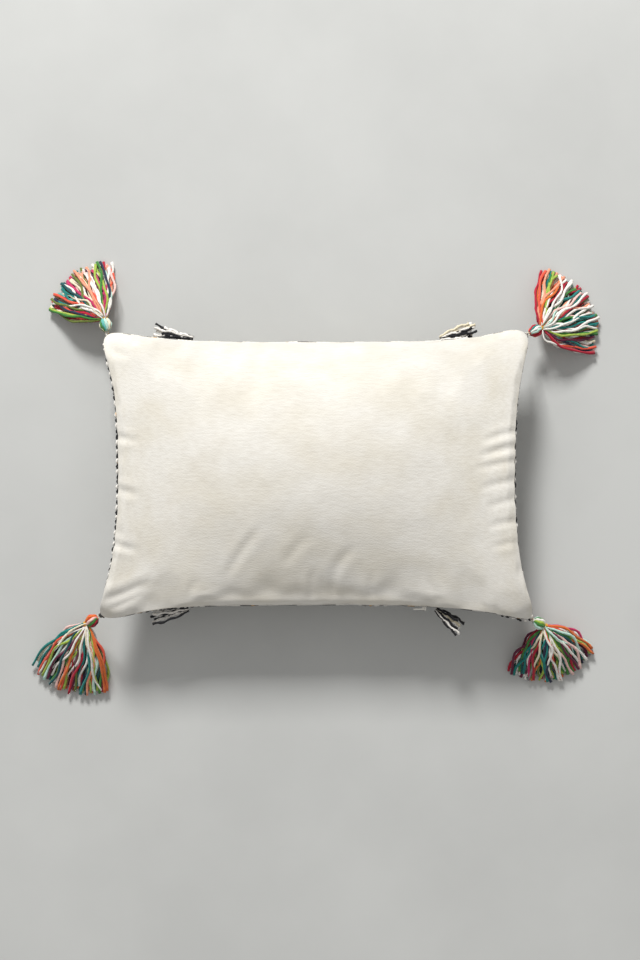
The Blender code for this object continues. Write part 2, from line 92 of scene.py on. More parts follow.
# ---- tassels: yarns of the upper layer in order across the fan, turning clockwise ----
FAN_YARNS = {
    "top_left": "VFLRKRNTVRKAATTWDDBBPCVCWCHKHPWHWWUBCLFLBNWMWP",
    "top_right": "RKHCFLLOHWRRWWWFTHPWTTRHWWPFTAWRTTWWLFRUWTNKR",
    "bottom_left": "KOKOFDMWLLHODNTWRTVWRRUVLWOKWPLFDWUWWMLVOKWPTT",
    "bottom_right": "OKOLWMWFTDPWURFLFPWLFWKWLFNNTTAWLVORUGWBUTDWTFUR",
}
HEAD_YARNS = {
    "top_left": "MCMAFCVCMC",
    "top_right": "KRMWTRKPMR",
    "bottom_left": "KOPFRUMWFD",
    "bottom_right": "WMFLWFMOKW",
}

# ---- creases of the back panel: from X, from Y, to X, to Y, half width, depth ----
CREASES = (
    (0.232, 0.049, 0.190, 0.038, 0.0034, 0.0020),
    (0.232, 0.031, 0.186, 0.021, 0.0036, 0.0026),
    (0.232, 0.014, 0.180, 0.006, 0.0032, 0.0018),
    (0.232, -0.008, 0.186, -0.016, 0.0036, 0.0018),
    (0.232, -0.030, 0.193, -0.038, 0.0034, 0.0016),
    (0.232, -0.055, 0.196, -0.060, 0.0036, 0.0018),
    (0.236, -0.079, 0.200, -0.084, 0.0034, 0.0014),
    (-0.232, 0.044, -0.203, 0.036, 0.0034, 0.0018),
    (-0.236, -0.014, -0.204, -0.026, 0.0040, 0.0026),
    (-0.240, -0.078, -0.205, -0.090, 0.0036, 0.0022),
    (-0.244, -0.146, -0.186, -0.124, 0.0050, 0.0030),
    (-0.238, -0.156, -0.200, -0.140, 0.0036, 0.0018),
    (-0.240, 0.146, -0.214, 0.132, 0.0040, 0.0014),
    (-0.068, -0.066, -0.108, -0.122, 0.0046, 0.0016),
    (-0.012, -0.074, -0.040, -0.106, 0.0052, 0.0012),
    (0.040, -0.086, 0.012, -0.122, 0.0050, 0.0014),
    (-0.004, -0.112, -0.006, -0.146, 0.0034, 0.0016),
    (0.020, -0.116, 0.018, -0.148, 0.0036, 0.0018),
    (0.062, -0.118, 0.064, -0.148, 0.0036, 0.0014),
    (-0.140, -0.124, -0.150, -0.150, 0.0040, 0.0012),
    (0.130, -0.120, 0.142, -0.150, 0.0040, 0.0010),
)


# ---- settings ----

def length(name, description, default, low, high):
    return bpy.props.FloatProperty(
        name=name, description=description, default=default, min=low, max=high,
        unit="LENGTH", subtype="DISTANCE", precision=5,
    )


def colour(name, description, code):
    return bpy.props.FloatVectorProperty(
        name=name, description=description, default=linear(code), min=0.0, max=1.0,
        size=4, subtype="COLOR",
    )


def linear(code):
    """An sRGB hex colour as linear RGBA."""
    parts = [int(code[k:k + 2], 16) / 255 for k in (1, 3, 5)]
    return (*[c / 12.92 if c <= 0.04045 else ((c + 0.055) / 1.055) ** 2.4 for c in parts], 1.0)


class PillowSizes(bpy.types.PropertyGroup):
    """Sizes of the soft pieces"""

    back_cloth: length("Back cloth", "Thickness of the cotton back", 0.0012, 0.0004, 0.003)
    front_cloth: length("Front cloth", "Thickness of the woven front", 0.0022, 0.0008, 0.005)
    seam_groove: length("Seam groove", "How far the seam is drawn in", 0.0010, 0.0, 0.004)
    swell: length("Swell", "The most that the stuffing pushes the cloth out", 0.0022, 0.0, 0.016)
    tassel_yarn: length("Tassel yarn", "Radius of a tassel's yarn", 0.00150, 0.0004, 0.003)
    fringe_yarn: length("Fringe yarn", "Radius of the fringe yarn", 0.00150, 0.0004, 0.003)
    edge_yarn: length("Edge yarn", "Radius of the front's yarn at the seam", 0.00135, 0.0004, 0.003)


class PillowColours(bpy.types.PropertyGroup):
    """Colours of the cloths and of the floor"""

    back: colour("Back", "Plain cotton back", "#DEDBD4")
    back_shade: colour("Back shade", "Slubs and hollows of the back", "#D5D1C9")
    front_dark: colour("Front dark", "Dark yarn of the woven front", "#1B1B20")
    front_light: colour("Front light", "Pale yarn of the woven front", "#E6E2D9")
    front_fleck: colour("Front fleck", "Accent yarn of the woven front", "#B98A3A")
    floor: colour("Floor", "Plain floor", "#C1C2C0")


# ---- small helpers ----

MERGE = 0.00002              # points closer than this are made one


def deselect():
    if bpy.context.object and bpy.context.object.mode != "OBJECT":
        bpy.ops.object.mode_set(mode="OBJECT")
    bpy.ops.object.select_all(action="DESELECT")


def pick(obj):
    """Makes obj the only selected object and the active one."""
    deselect()
    obj.select_set(True)
    bpy.context.view_layer.objects.active = obj
    return obj


def apply_all(obj):
    pick(obj)
    for modifier in list(obj.modifiers):
        bpy.ops.object.modifier_apply(modifier=modifier.name)


def coordinates(mesh):
    flat = np.empty(len(mesh.vertices) * 3)
    mesh.vertices.foreach_get("co", flat)
    return flat.reshape(-1, 3)


def set_coordinates(mesh, places):
    mesh.vertices.foreach_set("co", np.ascontiguousarray(places, dtype=np.float64).ravel())
    mesh.update()


def normals(mesh):
    flat = np.empty(len(mesh.vertices) * 3)
    mesh.vertex_normals.foreach_get("vector", flat)
    return flat.reshape(-1, 3)


def mesh_object(name, bm, material):
    mesh = bpy.data.meshes.new(name)
    bm.to_mesh(mesh)
    bm.free()
    mesh.materials.append(material)
    mesh.shade_smooth()
    obj = bpy.data.objects.new(name, mesh)
    bpy.context.scene.collection.objects.link(obj)
    return obj


def edit_all(obj, *steps):
    """Runs mesh operators on the whole of obj in edit mode."""
    pick(obj)
    bpy.ops.object.mode_set(mode="EDIT")
    bpy.ops.mesh.select_all(action="SELECT")
    for step in steps:
        step()
    bpy.ops.object.mode_set(mode="OBJECT")


def merge_points():
    bpy.ops.mesh.remove_doubles(threshold=MERGE)


def smooth_once(obj):
    smooth = obj.modifiers.new("smooth", "SUBSURF")
    smooth.levels = smooth.render_levels = 1
    apply_all(obj)


def node_points(node):
    return coordinates(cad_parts[node].data)


def copy_node(node, name, material):
    """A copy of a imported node, to be reshaped in place of it."""
    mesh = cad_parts[node].data.copy()
    piece = bpy.data.objects.new(name, mesh)
    bpy.context.scene.collection.objects.link(piece)
    mesh.materials.clear()
    mesh.materials.append(material)
    return piece


def middle(node):
    low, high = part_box(node)
    return (low + high) / 2


def across(axis):
    """Two directions across an axis: a level one and the one above it."""
    side = axis.cross(Vector((0, 0, 1))).normalized()
    return side, side.cross(axis).normalized()


def around(side, up, angle):
    return side * math.cos(angle) + up * math.sin(angle)


def heading(angle):
    return Vector((math.cos(angle), math.sin(angle), 0.0))


# ---- materials ----

ONE_WAVE = 0.314             # scale at which a wave is one unit long
WHITE = linear("#FFFFFF")


def add_node(tree, kind, inputs=(), **settings):
    """Adds a node, sets it, and links or fills its inputs."""
    made = tree.nodes.new(kind)
    for key, value in settings.items():
        setattr(made, key, value)
    for socket, value in dict(inputs).items():
        if isinstance(value, bpy.types.NodeSocket):
            tree.links.new(value, made.inputs[socket])
        else:
            made.inputs[socket].default_value = value
    return made


def noise(tree, place, detail=2.0, roughness=0.5):
    inputs = {"Vector": place, "Scale": 1.0, "Detail": detail, "Roughness": roughness}
    return add_node(tree, "ShaderNodeTexNoise", inputs).outputs["Fac"]


def waves(tree, place, direction, distortion=0.0, scale=ONE_WAVE, detail_scale=1.0):
    inputs = {"Vector": place, "Scale": scale, "Distortion": distortion, "Detail Scale": detail_scale}
    return add_node(tree, "ShaderNodeTexWave", inputs, bands_direction=direction).outputs["Fac"]


def calculate(tree, operation, *values):
    return add_node(tree, "ShaderNodeMath", enumerate(values), operation=operation).outputs["Value"]


def mix(tree, factor, one, other, blend="MIX"):
    inputs = {"Factor": factor, "A": one, "B": other}
    return add_node(tree, "ShaderNodeMix", inputs, data_type="RGBA", blend_type=blend).outputs["Result"]


def ramp(tree, factor, low, high, start=0.0, end=1.0):
    """Factor turned into a blend of two colours."""
    inputs = {"Value": factor, "From Min": start, "From Max": end}
    return mix(tree, add_node(tree, "ShaderNodeMapRange", inputs).outputs["Result"], low, high)


def darker(shade, share):
    return (*[part * share for part in shade[:3]], 1.0)


def cloth_place(tree, across_mm, along_mm, turn=0.0):
    """The piece's own cloth coordinates, scaled so that one unit is the given size."""
    inputs = {
        "Vector": add_node(tree, "ShaderNodeUVMap", uv_map="cloth").outputs["UV"],
        "Rotation": (0.0, 0.0, turn),
        "Scale": (1000 / across_mm, 1000 / along_mm, 1.0),
    }
    return add_node(tree, "ShaderNodeMapping", inputs).outputs["Vector"]


def object_place(tree, size_mm):
    place = add_node(tree, "ShaderNodeTexCoord").outputs["Object"]
    inputs = {"Vector": place, "Scale": (1000 / size_mm,) * 3}
    return add_node(tree, "ShaderNodeMapping", inputs).outputs["Vector"]


def new_material(name):
    """An empty Principled material; returns it with its tree."""
    material = bpy.data.materials.new(name)
    material.use_nodes = True
    return material, material.node_tree


def finish_material(material, base, roughness, relief=None, sockets=()):
    """Links the colour and the relief (height, strength, depth in metres) and sets the rest."""
    tree = material.node_tree
    shader = tree.nodes["Principled BSDF"]
    tree.links.new(base, shader.inputs["Base Color"])
    if relief:
        bump = add_node(tree, "ShaderNodeBump", zip(("Height", "Strength", "Distance"), relief))
        tree.links.new(bump.outputs["Normal"], shader.inputs["Normal"])
    shader.inputs["Roughness"].default_value = roughness
    for socket, value in dict(sockets).items():
        shader.inputs[socket].default_value = value
    return material


def brushed_cotton(colours):
    """Brushed cotton twill: matt, with short level slubs and a soft nap that lightens grazing edges."""
    material, tree = new_material("brushed_cotton_twill")
    slub = noise(tree, cloth_place(tree, 9.0, 1.9), detail=3.0, roughness=0.6)
    twill = waves(tree, cloth_place(tree, 2.3, 2.3, 0.45), "Y", distortion=2.2, scale=0.32, detail_scale=1.5)
    cloud = noise(tree, cloth_place(tree, 60.0, 45.0))
    nap = noise(tree, cloth_place(tree, 1.5, 1.1))
    tone = ramp(tree, slub, tuple(colours.back_shade), tuple(colours.back), 0.30, 0.62)
    soft = ramp(tree, cloud, linear("#F8F6F1"), WHITE, 0.35, 0.6)
    base = mix(tree, 1.0, tone, soft, "MULTIPLY")
    relief = calculate(tree, "MULTIPLY_ADD", twill, 0.10, slub)
    relief = calculate(tree, "ADD", relief, nap)
    return finish_material(material, base, 0.92, (relief, 0.30, 0.0007), {
        "Specular IOR Level": 0.2, "Sheen Weight": 0.18, "Sheen Roughness": 0.45})


def handwoven_rows(colours):
    """Hand-woven weft-faced cloth: thick rows of dark and pale yarn with a few accent flecks."""
    material, tree = new_material("handwoven_weft_rows")
    place = cloth_place(tree, 14.0, 10.0)
    rows = add_node(tree, "ShaderNodeSeparateXYZ", {"Vector": place}).outputs["Y"]
    dark = calculate(tree, "GREATER_THAN", calculate(tree, "FRACT", rows), 0.5)
    checks = {"Vector": place, "Scale": 1.0, "Color1": WHITE, "Color2": (0.0, 0.0, 0.0, 1.0)}
    bricks = add_node(tree, "ShaderNodeTexChecker", checks).outputs["Fac"]
    band = noise(tree, cloth_place(tree, 4000.0, 46.0), detail=0.0)
    choose = calculate(tree, "GREATER_THAN", band, 0.5)
    pattern = add_node(tree, "ShaderNodeMix", {"Factor": choose, "A": dark, "B": bricks}).outputs["Result"]
    base = ramp(tree, pattern, tuple(colours.front_light), tuple(colours.front_dark))
    fleck = noise(tree, cloth_place(tree, 13.0, 5.0), detail=0.0)
    fleck = calculate(tree, "GREATER_THAN", fleck, 0.70)
    base = mix(tree, fleck, base, tuple(colours.front_fleck))
    rib = waves(tree, cloth_place(tree, 5.0, 5.0), "Y", distortion=0.3)
    ply = waves(tree, cloth_place(tree, 2.2, 2.2, 0.9), "X", distortion=0.6)
    relief = calculate(tree, "MULTIPLY_ADD", ply, 0.35, rib)
    return finish_material(material, base, 0.93, (relief, 0.9, 0.0016), {"Sheen Weight": 0.15})


def plied_yarn(name, sheen=0.25):
    """Two-ply acrylic yarn: matt and a little hairy, its colour dyed in, with fine fibres along the twist."""
    material, tree = new_material(name)
    dye = add_node(tree, "ShaderNodeAttribute", attribute_name="dye").outputs["Color"]
    fibre = noise(tree, cloth_place(tree, 0.5, 3.0, 0.5), detail=3.0)
    shade = ramp(tree, fibre, linear("#C4C0BC"), WHITE, 0.3, 0.6)
    base = mix(tree, 1.0, dye, shade, "MULTIPLY")
    return finish_material(material, base, 0.86, (fibre, 0.4, 0.0003), {
        "Specular IOR Level": 0.3, "Sheen Weight": sheen})


def plain_fabric(name, code, thread_mm, roughness=0.85):
    """A plain-woven or knitted cloth of one colour: two crossed sets of threads in fine relief, with painted
    shade that darkens the hollows between the threads.
    """
    material, tree = new_material(name)
    place = object_place(tree, thread_mm)
    weave = calculate(tree, "MAXIMUM", waves(tree, place, "X"), waves(tree, place, "Y"))
    # painted shade: the colour drops to 80% where the weave's relief is low, in the hollows between the
    # threads
    base = ramp(tree, weave, darker(linear(code), 0.8), linear(code))
    return finish_material(material, base, roughness, (weave, 0.4, 0.0003))


def fibre_filling():
    """Carded polyester stuffing: white, matt and lumpy."""
    material, tree = new_material("carded_polyester")
    lump = noise(tree, object_place(tree, 7.0), detail=5.0)
    base = ramp(tree, lump, linear("#DADADA"), linear("#FAFAFA"), 0.3, 0.7)
    return finish_material(material, base, 0.95, (lump, 0.8, 0.002))


def lacquered_zinc():
    """Die-cast zinc under grey lacquer: smooth with a faint orange-peel and a soft gloss."""
    material, tree = new_material("lacquered_die_cast_zinc")
    peel = noise(tree, object_place(tree, 0.6))
    base = ramp(tree, peel, linear("#A19E97"), linear("#ABA8A1"), 0.3, 0.7)
    return finish_material(material, base, 0.38, (peel, 0.1, 0.0001))


def nylon_coil():
    """Drawn nylon filament wound in a coil: cream, with a ridge at each turn and painted shade darkening the
    grooves between the turns.
    """
    material, tree = new_material("wound_nylon_filament")
    turns = waves(tree, object_place(tree, 1.4), "X")
    # painted shade: the grooves between the turns are coloured darker than the ridges
    base = ramp(tree, turns, linear("#B9B3A4"), linear("#E6E1D4"))
    return finish_material(material, base, 0.45, (turns, 0.8, 0.0004))


def pale_floor(shade):
    """Sealed plaster screed: pale and matt, with faint trowelled clouds."""
    material, tree = new_material("sealed_plaster_screed")
    cloud = noise(tree, object_place(tree, 260.0), detail=6.0, roughness=0.55)
    base = ramp(tree, cloud, darker(shade, 0.93), tuple(shade), 0.35, 0.6)
    return finish_material(material, base, 0.8)


# ---- yarn ----

def yarn_frames(path):
    """Tangent and two normals at each point of a path, carried along without turning."""
    tangents = []
    for k in range(len(path)):
        ahead, behind = path[min(k + 1, len(path) - 1)], path[max(k - 1, 0)]
        tangents.append((ahead - behind).normalized())
    side = tangents[0].orthogonal().normalized()
    frames = []
    for tangent in tangents:
        side = (side - tangent * side.dot(tangent)).normalized()
        frames.append((tangent, side, tangent.cross(side)))
    return frames


def add_yarn(bm, path, radii, code, sides=8, twist=900.0, lobe=0.20, phase=0.0, closed=False):
    """Adds one twisted two-ply yarn along a path to bm, with its colour and cloth coordinates."""
    dye = bm.loops.layers.float_color.get("dye") or bm.loops.layers.float_color.new("dye")
    uv = bm.loops.layers.uv.get("cloth") or bm.loops.layers.uv.new("cloth")
    tint = linear(YARNS.get(code, "#FFFFFF"))
    rings, reach, reaches = [], 0.0, []
    for k, (point, (_, side, other)) in enumerate(zip(path, yarn_frames(path))):
        reach += (point - path[k - 1]).length if k else 0.0
        reaches.append(reach)
        ring = []
        for n in range(sides):
            angle = 2 * math.pi * n / sides
            radius = radii[k] * (1 + lobe * math.cos(2 * angle - twist * reach + phase))
            ring.append(bm.verts.new(point + radius * around(side, other, angle)))
        rings.append(ring)
    spans = list(zip(range(len(rings)), range(1, len(rings))))
    if closed:
        spans.append((len(rings) - 1, 0))
    for near, far in spans:
        for n in range(sides):
            after = (n + 1) % sides
            face = bm.faces.new([rings[near][n], rings[near][after], rings[far][after], rings[far][n]])
            here, there = reaches[near], reaches[far] if far else reach
            places = ((n, here), (n + 1, here), (n + 1, there), (n, there))
            for loop, (turn, along) in zip(face.loops, places):
                loop[dye] = tint
                loop[uv].uv = (turn / sides * 2 * math.pi * radii[near], along)
    if not closed:
        for ring, flip in ((rings[0], True), (rings[-1], False)):
            face = bm.faces.new(ring[::-1] if flip else ring)
            for loop in face.loops:
                loop[dye] = tint


def arc(start, bend, end, steps):
    """Points of a quadratic curve."""
    shares = [k / steps for k in range(steps + 1)]
    return [start * (1 - t) ** 2 + bend * (2 * t * (1 - t)) + end * t ** 2 for t in shares]


# ---- cover ----

GRID_X, GRID_Y = 112, 76
BORDER = 0.9999              # grid coordinates past this are on the seam
ON_FLOOR = 0.0004            # cloth lower than this rests on the floor
ZIP_REACH = 0.020            # the slit closes within this distance past the chain
SLIT = 0.0011                # half the gap between the lips along the zip
SEAM_LIP = 0.0002            # and elsewhere
ZIP_RIDGE = 0.0028           # height of the ridge over the zip
RIDGE_BEHIND = 0.0050        # where it is highest, behind the edge
FRONT_TUCK = 0.0010          # the front's edge lies this far behind the back's
INSERT_SINK = 0.0036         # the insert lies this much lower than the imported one
SINK_FADE = 0.008            # height above the seam at which it has sunk fully
CREASE_SHARE = 0.55          # how much of the listed depth is pressed in
CREASE_SLOPE = 0.15          # cloth steeper than this carries no crease
LUMP_DEPTH, LUMP_SIZE = 0.0016, 0.045

SETTLE_FRAMES = 20
SETTLE = {
    "quality": 5,
    "mass": 0.35,
    "tension_stiffness": 18.0,
    "compression_stiffness": 18.0,
    "shear_stiffness": 6.0,
    "bending_stiffness": 6.0,
    "air_damping": 2.0,
    "use_pressure": True,
    "uniform_pressure_force": 2.5,
    "shrink_min": -0.006,
    "vertex_group_mass": "held",
}

EAR_POWERS = (5.7, 8.9)      # higher ones put the ears nearer to the corner, on the ends and the long sides
EARS = {                     # how far the cloth rounds out by each corner, on the end and the long side
    "top_left": (0.0050, 0.0024),
    "top_right": (0.0018, 0.0056),
    "bottom_left": (0.0018, 0.0044),
    "bottom_right": (0.0032, 0.0016),
}


class CoverForm:
    """The outer skin of the stuffed cover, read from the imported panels."""

    end_flare, side_flare, rise = 2.4, 3.5, 6.0
    fullness, packed_sag = 0.80, 6.0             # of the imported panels
    slope, bead, bead_share = 2.4, 0.6, 0.18     # of the settled back: a low dome with a rounded rim
    sag = 20.0                                   # the seam only sags right at the corners
    settling = 0.0125                            # how much lower the settled crown lies
    under = 0.0860                               # how far the front would hang without the floor

    def __init__(self):
        back, front = node_points("cover_back_panel"), node_points("cover_front_panel")
        self.corner = {(x, y): back[np.argmax(x * back[:, 0] + y * back[:, 1])] for x, y in CORNER_NAMES}
        level = back[np.abs(back[:, 1]) < 0.004]
        upright = back[np.abs(back[:, 0]) < 0.004]
        self.half_x = (-level[:, 0].min(), level[:, 0].max())
        self.half_y = (-upright[:, 1].min(), upright[:, 1].max())
        self.seam = float(upright[np.argmax(upright[:, 1])][2])
        self.end_seam = float(level[np.argmax(level[:, 0])][2])
        self.corner_seam = float(np.mean([c[2] for c in self.corner.values()]))
        self.packed_crown = float(back[:, 2].max()) - self.seam
        self.crown = self.packed_crown - self.settling
        self.floor = float(front[:, 2].min())
        low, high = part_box("zipper_coil_front")
        self.zip_half = (high.x - low.x) / 2

    def plan(self, u, v):
        """Half length and half width through a point; u and v run from -1 to 1."""
        right, up = u >= 0, v >= 0
        key = (1 if right else -1, 1 if up else -1)
        corner = self.corner[key]
        half_x = self.half_x[right] + (abs(corner[0]) - self.half_x[right]) * abs(v) ** self.end_flare
        half_y = self.half_y[up] + (abs(corner[1]) - self.half_y[up]) * abs(u) ** self.side_flare
        ear_x, ear_y = EARS[CORNER_NAMES[key]]
        near_x, near_y = abs(v) ** EAR_POWERS[0], abs(u) ** EAR_POWERS[1]
        return half_x + 4 * ear_x * near_x * (1 - near_x), half_y + 4 * ear_y * near_y * (1 - near_y)

    def seam_level(self, u, v, sag=None):
        """Highest at the middle of the ends, lowest at the corners."""
        lift = (self.end_seam - self.seam) * abs(u) ** self.rise * max(0.0, 1 - v * v)
        return self.seam + lift - (self.seam - self.corner_seam) * abs(u * v) ** (sag or self.sag)

    def dome(self, cosine):
        """Height of the back over the seam, as a share of the crown."""
        return (1 - self.bead_share) * cosine ** self.slope + self.bead_share * cosine ** self.bead

    def ridge(self, x, behind):
        """The low ridge that the zip raises behind the edge."""
        along = max(0.0, min(1.0, (self.zip_half + 2 * ZIP_REACH - abs(x)) / ZIP_REACH))
        return ZIP_RIDGE * along * behind / RIDGE_BEHIND * math.exp(1 - behind / RIDGE_BEHIND)

    def refit(self, places):
        """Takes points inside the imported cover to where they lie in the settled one."""
        lowest = min(place[2] for place in places)
        moved = []
        for x, y, z in places:
            u, v = x / self.half_x[x > 0], y / self.half_y[y > 0]
            for _ in range(4):
                half_x, half_y = self.plan(max(-1.0, min(1.0, u)), max(-1.0, min(1.0, v)))
                u, v = x / half_x, y / half_y
            u, v = max(-0.995, min(0.995, u)), max(-0.995, min(0.995, v))
            cosine = math.sqrt((1 - u * u) * (1 - v * v))
            above = z - self.seam_level(u, v, self.packed_sag)
            if above > 0:
                above *= self.crown * self.dome(cosine) / (self.packed_crown * cosine ** self.fullness)
                above -= INSERT_SINK * min(1.0, above / SINK_FADE)
            moved.append((x, y, max(lowest, self.seam_level(u, v) + above)))
        return np.array(moved)

    def point(self, s, t, upper):
        u, v = math.sin(math.pi / 2 * s), math.sin(math.pi / 2 * t)
        half_x, half_y = self.plan(u, v)
        cosine = abs(math.cos(math.pi / 2 * s) * math.cos(math.pi / 2 * t))
        if max(abs(s), abs(t)) > BORDER:
            cosine = 0.0
        level = self.seam_level(u, v)
        if upper:
            ridge = self.ridge(u * half_x, half_y * (1 - abs(v))) if v < 0 else 0.0
            return u * half_x, v * half_y, level + self.crown * self.dome(cosine) + ridge
        return u * half_x, v * half_y, max(self.floor, level - self.under * cosine ** self.fullness)

    def edge(self, place):
        """A point of the seam, going once round as place goes from 0 to 4, and the way out of it."""
        side, share = int(place) % 4, place - int(place)
        s, t = ((-1 + 2 * share, -1), (1, -1 + 2 * share), (1 - 2 * share, 1), (-1, 1 - 2 * share))[side]
        outward = ((0, -1), (1, 0), (0, 1), (-1, 0))[side]
        return Vector(self.point(s, t, True)), Vector((*outward, 0.0))


def make_skin(form, upper, material):
    """One half of the cover: a grid laid over the form."""
    deselect()
    bpy.ops.mesh.primitive_grid_add(x_subdivisions=GRID_X, y_subdivisions=GRID_Y, size=2.0)
    skin = bpy.context.object
    skin.data.materials.append(material)
    held = skin.vertex_groups.new(name="held")
    flat = [(v.co.x, v.co.y) for v in skin.data.vertices]
    places = [form.point(s, t, upper) for s, t in flat]
    set_coordinates(skin.data, np.array(places))
    for vertex, (s, t), place in zip(skin.data.vertices, flat, places):
        if max(abs(s), abs(t)) > BORDER or place[2] < form.floor + ON_FLOOR:
            held.add([vertex.index], 1.0, "REPLACE")
    layer = skin.data.uv_layers[0]
    layer.name = "cloth"
    half_x, half_y = form.corner[(1, 1)][:2]
    for loop in skin.data.loops:
        s, t = flat[loop.vertex_index]
        layer.data[loop.index].uv = (s * half_x, t * half_y)
    if not upper:
        skin.data.flip_normals()
    return skin


def stuff(skin, cap):
    """Lets the stuffing's pressure settle the cloth, then applies it, no further out than cap."""
    start = coordinates(skin.data)
    cloth = skin.modifiers.new("settle", "CLOTH")
    for name, value in SETTLE.items():
        setattr(cloth.settings, name, value)
    cloth.settings.effector_weights.gravity = 0.0
    cloth.point_cache.frame_start = 1
    cloth.point_cache.frame_end = SETTLE_FRAMES
    scene = bpy.context.scene
    for number in range(1, SETTLE_FRAMES + 1):
        scene.frame_set(number)
    apply_all(skin)
    scene.frame_set(1)
    moved = coordinates(skin.data) - start
    reach = np.linalg.norm(moved, axis=1, keepdims=True)
    moved *= np.minimum(1.0, cap / np.maximum(reach, 1e-9))
    places = start + moved
    places[:, 2] = np.maximum(places[:, 2], start[:, 2].min())
    set_coordinates(skin.data, places)


def press_creases(obj):
    """Presses the listed creases into the back, each a valley with a soft shoulder on both sides."""
    places, out = coordinates(obj.data), normals(obj.data)
    rise = np.zeros(len(places))
    for x0, y0, x1, y1, width, depth in CREASES:
        way = np.array([x1 - x0, y1 - y0])
        span = np.hypot(*way)
        way = way / span
        gap = places[:, :2] - np.array([x0, y0])
        along = gap @ way
        share = np.clip(along / span, -0.15, 1.15)
        across = gap @ np.array([-way[1], way[0]])
        bent = across + 0.18 * width * np.sin(share * 5.0)
        fade = np.clip(np.sin(np.pi * np.clip(0.12 + share * 0.88, 0, 1)), 0, 1) ** 0.8
        fade *= (share > -0.14) & (share < 1.14)
        valley = -np.exp(-(bent / width) ** 2)
        shoulder = 0.55 * np.exp(-((np.abs(bent) - 2.2 * width) / (1.2 * width)) ** 2)
        rise += depth * CREASE_SHARE * fade * (valley + shoulder)
    rise *= out[:, 2] > CREASE_SLOPE
    set_coordinates(obj.data, places + out * rise[:, None])


def soften_surface(obj):
    """Faint unevenness of the stuffing behind the cloth."""
    texture = bpy.data.textures.new("stuffing_lumps", "CLOUDS")
    texture.noise_scale = LUMP_SIZE
    texture.noise_depth = 1
    lumps = obj.modifiers.new("lumps", "DISPLACE")
    lumps.texture = texture
    lumps.texture_coords = "LOCAL"
    lumps.strength = LUMP_DEPTH
    lumps.mid_level = 0.5
    apply_all(obj)
    bpy.data.textures.remove(texture)


def draw_in_seam(panel, form, upper, groove):
    """Draws the panel's edge inwards and parts it from the other panel, most of all along the zip."""
    bm = bmesh.new()
    bm.from_mesh(panel.data)
    for vert in bm.verts:
        if not vert.is_boundary:
            continue
        along = form.zip_half + ZIP_REACH - abs(vert.co.x)
        lip = SEAM_LIP
        if vert.co.y < 0 and along > 0 and abs(vert.co.y) > form.half_y[0] * 0.9:
            lip += (SLIT - SEAM_LIP) * min(1.0, along / ZIP_REACH)
        outward = Vector((vert.co.x / form.half_x[1], vert.co.y / form.half_y[1], 0.0))
        axis = 0 if abs(outward.x) > abs(outward.y) else 1
        vert.co[axis] -= math.copysign(groove if upper else groove + FRONT_TUCK, vert.co[axis])
        vert.co.z += lip if upper else -lip
    bm.to_mesh(panel.data)
    bm.free()


def name_panels(parts):
    """The upper and the lower part, told apart by their material."""
    back = next(o for o in parts if o.data.materials[0].name.startswith("brushed"))
    front = next(o for o in parts if o is not back)
    for obj, name in ((back, "cushion_back_cotton"), (front, "cushion_front_woven")):
        obj.name = obj.data.name = name
    return back, front


class PILLOW_OT_cover(bpy.types.Operator):
    """Makes the stuffed cover: the cotton back and the woven front"""

    bl_idname = "pillow.cover"
    bl_label = "Cover"

    def execute(self, context):
        sizes, colours = context.scene.pillow_sizes, context.scene.pillow_colours
        form = CoverForm()
        top = make_skin(form, True, brushed_cotton(colours))
        low = make_skin(form, False, handwoven_rows(colours))
        pick(low)
        top.select_set(True)
        context.view_layer.objects.active = top
        bpy.ops.object.join()
        edit_all(top, merge_points)
        stuff(top, sizes.swell)
        smooth_once(top)
        soften_surface(top)
        press_creases(top)
        places = coordinates(top.data)
        places[:, 2] = np.maximum(places[:, 2], form.floor)
        set_coordinates(top.data, places)
        edit_all(top, lambda: bpy.ops.mesh.separate(type="MATERIAL"))
        back, front = name_panels(list(context.selected_objects))
        for panel, upper, thick in ((back, True, sizes.back_cloth), (front, False, sizes.front_cloth)):
            draw_in_seam(panel, form, upper, sizes.seam_groove)
            panel.vertex_groups.clear()
            wall = panel.modifiers.new("cloth", "SOLIDIFY")
            wall.thickness = thick
            wall.offset = -1.0
            apply_all(panel)
            panel.data.shade_smooth()
        for panel, node, slot in ((back, "cover_back_panel", "cotton_back"),
                                  (front, "cover_front_panel", "woven_front")):
            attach(panel, "cover")
            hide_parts(node)
        return {"FINISHED"}


# ---- seam yarns ----

